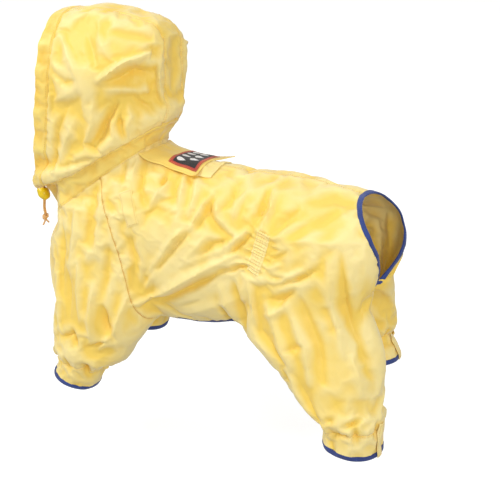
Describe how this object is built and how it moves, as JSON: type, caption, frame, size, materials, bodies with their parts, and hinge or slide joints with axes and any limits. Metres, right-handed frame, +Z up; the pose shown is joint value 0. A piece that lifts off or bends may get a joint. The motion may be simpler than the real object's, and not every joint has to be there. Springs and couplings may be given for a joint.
{
  "type": "dog raincoat",
  "caption": "Hooded four-legged raincoat for a small dog, worn shape, with gathered cuffs, bound belly and tail openings, and a back flap.",
  "frame": {"origin": "inner face of the cloth at the middle of the back, where the wearer's back holds the coat up", "axes": "+Z up, the wearer faces -X and its left side is at -Y"},
  "size_m": [0.5426, 0.2092, 0.5239],
  "materials": {
    "coat_cloth": "smooth coated nylon with a soft sheen",
    "edge_tape": "plain woven tape",
    "label": "woven label",
    "lock_plastic": "moulded",
    "drawcord": "braided cord"
  },
  "bodies": {
    "root": {"hood_left": "coat_cloth", "hood_right": "coat_cloth", "hood_crown_strip": "coat_cloth", "hood_casing": "coat_cloth", "neck_band": "coat_cloth", "chest": "coat_cloth", "sleeve_left": "coat_cloth", "sleeve_right": "coat_cloth", "body_left": "coat_cloth", "body_right": "coat_cloth", "front_left_cuff": "coat_cloth", "front_right_cuff": "coat_cloth", "hind_left_cuff": "coat_cloth", "hind_right_cuff": "coat_cloth", "flap_underlay": "coat_cloth", "back_flap": "coat_cloth", "shoulder_tab_left": "coat_cloth", "shoulder_tab_right": "coat_cloth", "waist_gather_left": "coat_cloth", "waist_gather_right": "coat_cloth", "hind_placket_left": "coat_cloth", "hind_placket_right": "coat_cloth", "front_left_cuff_tape": "edge_tape", "front_right_cuff_tape": "edge_tape", "hind_left_cuff_tape": "edge_tape", "hind_right_cuff_tape": "edge_tape", "tail_opening_tape": "edge_tape", "belly_opening_tape": "edge_tape", "flap_label": "label", "cord_lock": "lock_plastic", "cord_lock_button": "lock_plastic", "drawcord_1": "drawcord", "drawcord_2": "drawcord", "drawcord_knot": "drawcord"}
  },
  "joints": []
}
